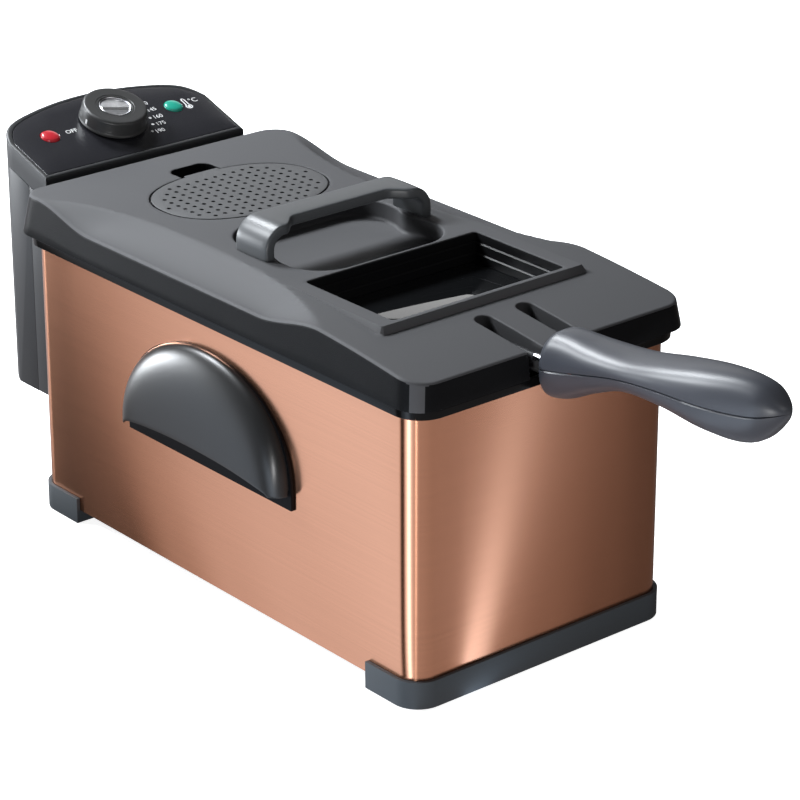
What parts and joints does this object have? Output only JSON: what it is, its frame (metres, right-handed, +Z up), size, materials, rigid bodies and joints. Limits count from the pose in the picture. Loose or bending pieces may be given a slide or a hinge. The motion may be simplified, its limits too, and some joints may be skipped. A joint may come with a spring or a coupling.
{
  "type": "deep fryer",
  "caption": "Countertop deep fryer: steel housing with side handles, lift-out pot and wire basket with a long grip, lift-off lid with window and steam filter, and a slide-on control unit.",
  "frame": {"origin": "on the surface the fryer stands on, under the middle of the whole part", "axes": "+Z up, -Y towards the basket grip, +Y towards the control unit, +X to the right seen from the grip end"},
  "size_m": [0.2328, 0.6594, 0.2499],
  "materials": {
    "housing_metal": "brushed, rose gold tone",
    "base_plastic": "fine texture",
    "foot_plastic": "fine texture",
    "pad_rubber": "matte",
    "screw_steel": "plated",
    "handle_plastic": "satin",
    "handle_back_plastic": "satin",
    "rail_plastic": "satin",
    "pot_enamel": "gloss enamel",
    "basket_steel": "bright wire",
    "grip_plastic": "satin",
    "lid_plastic": "fine texture",
    "liner_aluminium": "satin",
    "strap_plastic": "satin",
    "window_glass": "clear, dark behind",
    "seal_rubber": "matte",
    "clamp_plastic": "satin",
    "filter_felt": "felt",
    "filter_cover_plastic": "satin",
    "control_plastic": "satin",
    "panel_plastic": "smooth satin",
    "red_plastic": "clear red",
    "green_plastic": "clear green",
    "lamp_glass": "clear",
    "thermostat_steel": "plated",
    "terminal_plastic": "matte",
    "bracket_steel": "brushed",
    "heater_steel": "heat stained",
    "bulb_copper": "plain",
    "gland_rubber": "matte",
    "switch_plastic": "matte",
    "dial_plastic": "satin",
    "dial_metal": "satin",
    "shaft_steel": "turned",
    "reset_plastic": "gloss",
    "plunger_brass": "plain"
  },
  "bodies": {
    "housing": {"housing_shell": "housing_metal", "base_plate": "base_plastic", "front_foot": "foot_plastic", "rear_foot": "foot_plastic", "foot_pads": "pad_rubber", "base_screws": "screw_steel", "left_handle_plate": "handle_back_plastic", "left_handle_shell": "handle_plastic", "right_handle_plate": "handle_back_plastic", "right_handle_shell": "handle_plastic", "side_handle_screws": "screw_steel", "rear_rails": "rail_plastic"},
    "pot": {"oil_pot": "pot_enamel"},
    "basket": {"basket_mesh": "basket_steel", "basket_frame": "basket_steel", "handle_wires": "basket_steel", "grip_upper": "grip_plastic", "grip_lower": "grip_plastic", "grip_screws": "screw_steel"},
    "lid": {"lid_shell": "lid_plastic", "lid_liner": "liner_aluminium", "lid_handle": "strap_plastic", "lid_handle_screws": "screw_steel", "window_pane": "window_glass", "window_seal": "seal_rubber", "window_clamp": "clamp_plastic", "filter_mat": "filter_felt"},
    "filter_lid": {"filter_cover": "filter_cover_plastic"},
    "control_unit": {"control_front_shell": "control_plastic", "control_rear_shell": "control_plastic", "control_cap": "control_plastic", "control_panel": "panel_plastic", "red_lens": "red_plastic", "green_lens": "green_plastic", "indicator_lamps": "lamp_glass", "thermostat": "thermostat_steel", "terminal_block": "terminal_plastic", "element_bracket": "bracket_steel", "heating_element": "heater_steel", "sensor_bulb": "bulb_copper", "cord_gland": "gland_rubber", "safety_switch": "switch_plastic", "control_screws": "screw_steel"},
    "dial": {"dial_knob": "dial_plastic", "dial_insert": "dial_metal", "dial_shaft": "shaft_steel"},
    "reset": {"reset_button": "reset_plastic"},
    "plunger": {"switch_plunger": "plunger_brass"}
  },
  "joints": [
    {"name": "lid_lift", "type": "slide", "parent": "housing", "child": "lid", "axis": [0, 0, 1], "range_m": [0, 0.36]},
    {"name": "basket_lift", "type": "slide", "parent": "housing", "child": "basket", "axis": [0, 0, 1], "range_m": [0, 0.252]},
    {"name": "control_lift", "type": "slide", "parent": "housing", "child": "control_unit", "axis": [0, 0, 1], "range_m": [0, 0.18]},
    {"name": "pot_lift", "type": "slide", "parent": "housing", "child": "pot", "axis": [0, 0, 1], "range_m": [0, 0.09]},
    {"name": "filter_lift", "type": "slide", "parent": "lid", "child": "filter_lid", "axis": [0, 0, 1], "range_m": [0, 0.03]},
    {"name": "dial_turn", "type": "hinge", "parent": "control_unit", "child": "dial", "pos_m": [0, 0.28728, 0.23165], "axis": [0, -0.309, 0.9511], "range_deg": [-228, 0]},
    {"name": "reset_press", "type": "slide", "parent": "control_unit", "child": "reset", "axis": [0, -1, 0], "range_m": [0, 0.0015], "stiffness_N_per_m": 400},
    {"name": "switch_press", "type": "slide", "parent": "control_unit", "child": "plunger", "axis": [0, 1, 0], "range_m": [0, 0.0015], "stiffness_N_per_m": 200}
  ],
  "couplings": [
    {"joint": "basket_lift", "follows": "lid_lift", "ratio": 0.7},
    {"joint": "control_lift", "follows": "lid_lift", "ratio": 0.5},
    {"joint": "pot_lift", "follows": "lid_lift", "ratio": 0.25}
  ]
}
